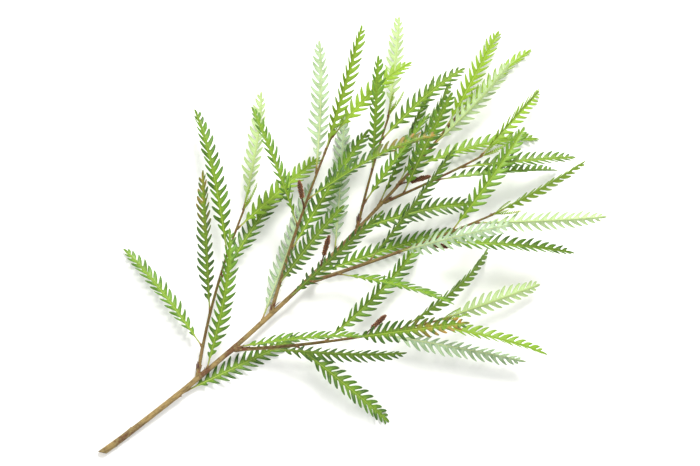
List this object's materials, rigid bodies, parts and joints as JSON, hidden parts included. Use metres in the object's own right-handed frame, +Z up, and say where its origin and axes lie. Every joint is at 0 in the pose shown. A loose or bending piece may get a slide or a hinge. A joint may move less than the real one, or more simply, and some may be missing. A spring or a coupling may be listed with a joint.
{
  "type": "grevillea foliage stem",
  "caption": "Cut stem of ferny grevillea foliage lying on its side: forked woody shoots, long toothed leaves and dark flower-bud spikes.",
  "frame": {"origin": "middle of the small flat under the cut end, where it rests on the table", "axes": "+Y from the cut end to the tips, +X to the right as seen from above, +Z up from the table"},
  "size_m": [0.4329, 0.6361, 0.1147],
  "materials": {
    "wood": "tan ridged bark, matt, redder towards the tips",
    "leaf": "green leaf with a satin upper face and a paler, silky underside",
    "young_leaf": "yellow-green young leaf, satin, paler underneath",
    "bud": "dark red-brown downy flower buds, matt"
  },
  "bodies": {
    "root": {"bud_spike_1": "bud", "bud_spike_2": "bud", "bud_spike_3": "bud", "bud_spike_4": "bud", "bud_spike_5": "bud", "leaf_01": "leaf", "leaf_02": "leaf", "leaf_03": "leaf", "leaf_04": "leaf", "leaf_05": "leaf", "leaf_06": "leaf", "leaf_07": "leaf", "leaf_08": "leaf", "leaf_09": "leaf", "leaf_10": "leaf", "leaf_11": "leaf", "leaf_12": "young_leaf", "leaf_13": "young_leaf", "leaf_14": "young_leaf", "leaf_15": "leaf", "leaf_16": "leaf", "leaf_17": "leaf", "leaf_18": "leaf", "leaf_19": "leaf", "leaf_20": "young_leaf", "leaf_21": "leaf", "leaf_22": "leaf", "leaf_23": "leaf", "leaf_24": "leaf", "leaf_25": "leaf", "leaf_26": "leaf", "leaf_27": "young_leaf", "leaf_28": "young_leaf", "leaf_29": "leaf", "leaf_30": "leaf", "leaf_31": "leaf", "leaf_32": "leaf", "leaf_33": "leaf", "leaf_34": "young_leaf", "leaf_35": "young_leaf", "leaf_36": "leaf", "leaf_37": "leaf", "leaf_38": "leaf", "leaf_39": "leaf", "leaf_40": "leaf", "leaf_41": "young_leaf", "leaf_42": "young_leaf", "leaf_43": "leaf", "leaf_44": "leaf", "leaf_45": "leaf", "leaf_46": "young_leaf", "leaf_47": "leaf", "leaf_48": "leaf", "leaf_49": "leaf", "leaf_50": "young_leaf", "woody_stem": "wood"}
  },
  "joints": []
}
